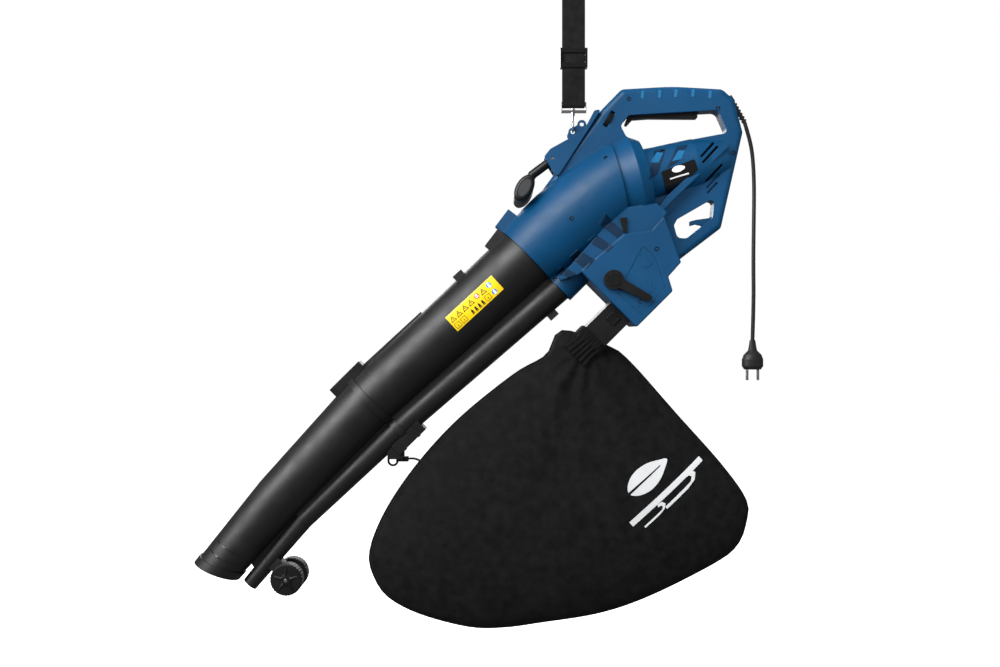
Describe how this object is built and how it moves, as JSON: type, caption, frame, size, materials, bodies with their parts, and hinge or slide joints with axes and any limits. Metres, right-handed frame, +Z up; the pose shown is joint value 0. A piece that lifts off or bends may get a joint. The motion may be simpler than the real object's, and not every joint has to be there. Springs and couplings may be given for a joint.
{
  "type": "leaf blower",
  "caption": "Corded handheld leaf blower and vacuum with a two-part suction tube, nozzle wheels, shoulder strap and debris bag.",
  "frame": {"origin": "the point where the shoulder holds the strap loop, at the top of the loop", "axes": "+Z up, +X towards the grip and the mains lead, -X towards the nozzle, -Y the operator's left side"},
  "size_m": [1.0052, 0.152, 1.1293],
  "materials": {
    "blue_shell": "satin",
    "black_shell": "satin",
    "gloss_black": "gloss",
    "grey_pad": "matte",
    "steel": "satin",
    "chrome": "polished",
    "laminate": "matte",
    "copper": "satin",
    "carbon": "matte",
    "board_green": "satin",
    "label_yellow": "satin",
    "rubber_black": "matte",
    "bag_cloth": "matte",
    "webbing": "matte",
    "fan_plastic": "satin",
    "aluminium_cast": "satin"
  },
  "bodies": {
    "strap_loop": {"strap": "webbing"},
    "slider": {"strap_slider": "gloss_black"},
    "hook_bar": {"hook_frame": "chrome"},
    "swivel_hook": {"snap_hook": "chrome"},
    "gate": {"hook_gate": "chrome"},
    "rotor": {"motor_shaft": "steel", "armature": "laminate", "commutator": "copper", "impeller": "fan_plastic", "impeller_nut": "steel"},
    "second_grip": {"second_handle": "black_shell", "grip_pads": "grey_pad"},
    "trigger_lever": {"trigger": "black_shell"},
    "dial": {"speed_dial": "black_shell"},
    "selector": {"selector_lever": "black_shell", "lever_cap": "gloss_black", "selector_shaft": "steel", "diverter_flap": "fan_plastic"},
    "left_wheel": {"wheel_left": "black_shell"},
    "right_wheel": {"wheel_right": "black_shell"},
    "bag_unit": {"bag_chute": "black_shell", "neck_band": "webbing", "bag": "bag_cloth", "bag_hook": "black_shell", "tape_loop": "webbing"},
    "bag_latch": {"latch_button": "black_shell"},
    "machine": {"housing_left": "blue_shell", "housing_right": "blue_shell", "nameplate": "gloss_black", "selector_plate": "blue_shell", "outlet_grille": "black_shell", "strap_lug": "blue_shell", "front_bracket": "blue_shell", "arm_pivot": "steel", "trigger_pin": "steel", "dial_axle": "steel", "switch": "black_shell", "speed_board": "board_green", "fan_plate": "aluminium_cast", "bearing_front": "steel", "bearing_rear": "steel", "stator": "laminate", "motor_cradle": "fan_plastic", "bearing_holder": "fan_plastic", "brush_upper": "carbon", "brush_lower": "carbon", "inlet_guard": "fan_plastic", "upper_tube": "black_shell", "lower_tube": "black_shell", "nozzle_rim": "black_shell", "joint_clip_upper": "black_shell", "joint_clip_lower": "black_shell", "clip_screws": "steel", "safety_label": "label_yellow", "wheel_axle": "steel", "axle_caps": "gloss_black", "strain_relief": "rubber_black", "mains_lead": "rubber_black", "plug_body": "rubber_black", "plug_pins": "chrome"}
  },
  "joints": [
    {"name": "slider_travel", "type": "slide", "parent": "strap_loop", "child": "slider", "axis": [0, 0, 1], "range_m": [-0.045, 0.08]},
    {"name": "hook_bar_swing", "type": "hinge", "parent": "strap_loop", "child": "hook_bar", "pos_m": [0, 0, -0.212], "axis": [1, 0, 0], "range_deg": [-20, 20]},
    {"name": "hook_swivel", "type": "hinge", "parent": "hook_bar", "child": "swivel_hook", "pos_m": [-0.0015, 0, -0.226], "axis": [0, 0, 1], "continuous": true},
    {"name": "gate_hinge", "type": "hinge", "parent": "swivel_hook", "child": "gate", "pos_m": [-0.0015, -0.00763, -0.24583], "axis": [-1, 0, 0], "range_deg": [0, 18], "stiffness_Nm_per_rad": 0.02, "springref_deg": -11.46},
    {"name": "machine_swing", "type": "hinge", "parent": "swivel_hook", "child": "machine", "pos_m": [-0.0015, 0, -0.2604], "axis": [0, -1, 0], "range_deg": [-12, 12]},
    {"name": "rotor_spin", "type": "hinge", "parent": "machine", "child": "rotor", "pos_m": [0.092, 0, -0.3467], "axis": [0.9703, 0, 0.2419], "continuous": true},
    {"name": "second_grip_fold", "type": "hinge", "parent": "machine", "child": "second_grip", "pos_m": [-0.038, 0, -0.31], "axis": [0, 1, 0], "range_deg": [0, 50]},
    {"name": "trigger_pull", "type": "hinge", "parent": "machine", "child": "trigger_lever", "pos_m": [0.11, 0, -0.2235], "axis": [0, -1, 0], "range_deg": [0, 5], "stiffness_Nm_per_rad": 1.2, "springref_deg": -2.86},
    {"name": "dial_turn", "type": "hinge", "parent": "machine", "child": "dial", "pos_m": [0.0613, -0.009, -0.2402], "axis": [-0.866, 0, 0.5], "range_deg": [0, 270]},
    {"name": "selector_turn", "type": "hinge", "parent": "machine", "child": "selector", "pos_m": [0.0648, 0, -0.5246], "axis": [0, -1, 0], "range_deg": [0, 55]},
    {"name": "left_wheel_spin", "type": "hinge", "parent": "machine", "child": "left_wheel", "pos_m": [-0.50176, 0, -1.04496], "axis": [0, 1, 0], "continuous": true},
    {"name": "right_wheel_spin", "type": "hinge", "parent": "machine", "child": "right_wheel", "pos_m": [-0.50176, 0, -1.04496], "axis": [0, 1, 0], "continuous": true},
    {"name": "bag_release", "type": "slide", "parent": "machine", "child": "bag_unit", "axis": [-0.7071, 0, -0.7071], "range_m": [0, 0.09]},
    {"name": "latch_press", "type": "slide", "parent": "bag_unit", "child": "bag_latch", "axis": [0, 1, 0], "range_m": [0, 0.0025], "stiffness_N_per_m": 300, "springref_m": -0.001}
  ]
}
